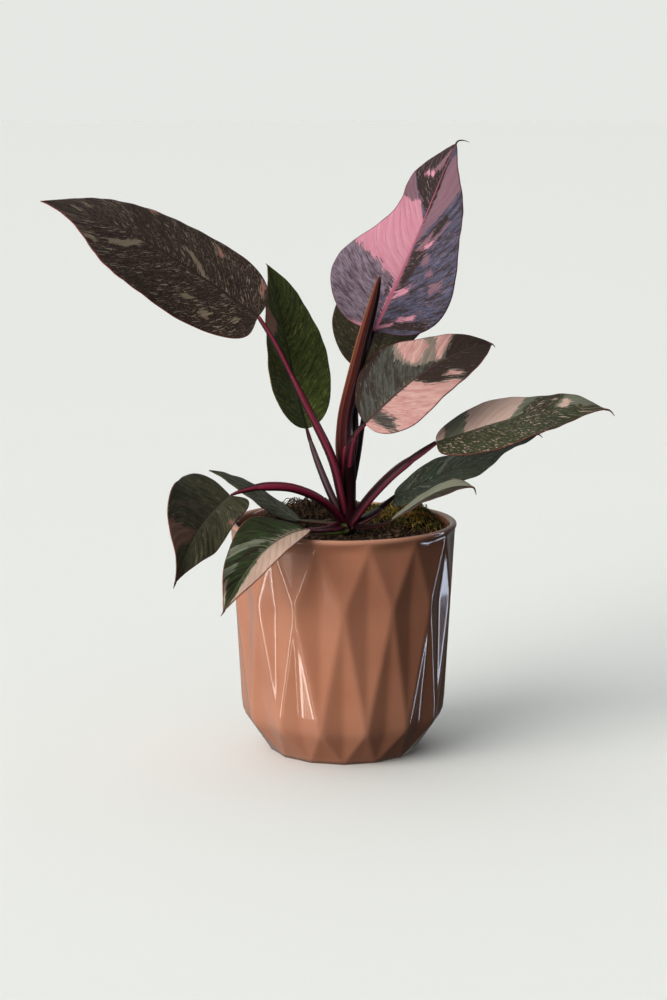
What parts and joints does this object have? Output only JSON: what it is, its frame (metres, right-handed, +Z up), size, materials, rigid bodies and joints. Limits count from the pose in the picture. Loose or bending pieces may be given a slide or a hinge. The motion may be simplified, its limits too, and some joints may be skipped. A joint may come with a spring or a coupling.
{
  "type": "pink princess philodendron in a pot",
  "caption": "Young variegated philodendron with pink and dark green leaves on crimson stalks, standing in a faceted, tapered ceramic pot filled with soil.",
  "frame": {"origin": "centre of the pot's flat underside", "axes": "+Z up through the pot, -Y towards the front of the plant, +X to the plant's right as seen from the front"},
  "size_m": [0.3406, 0.2378, 0.3715],
  "materials": {
    "pot": "glossy salmon glaze over pressed diamond facets",
    "soil": "dark, fibrous potting soil",
    "stalks": "crimson, satin, smooth",
    "new_leaf": "brown red, satin, rolled",
    "dark_leaf": "near black green, waxy",
    "green_leaf": "deep green, waxy",
    "grey_leaf": "grey green, waxy",
    "cream_leaf": "cream and green, waxy",
    "pink_leaf": "pink and dark green, waxy"
  },
  "bodies": {
    "root": {"pot": "pot", "soil": "soil", "stem_and_stalks": "stalks", "new_leaf_spear": "new_leaf", "leaf_upper_left": "dark_leaf", "leaf_drooping_left": "dark_leaf", "leaf_dark_back": "green_leaf", "leaf_green_back_left": "green_leaf", "leaf_green_right": "green_leaf", "leaf_long_right": "green_leaf", "leaf_narrow_left": "grey_leaf", "leaf_small_right": "grey_leaf", "leaf_front_left": "cream_leaf", "leaf_middle_right": "pink_leaf", "leaf_top_pink": "pink_leaf"}
  },
  "joints": []
}
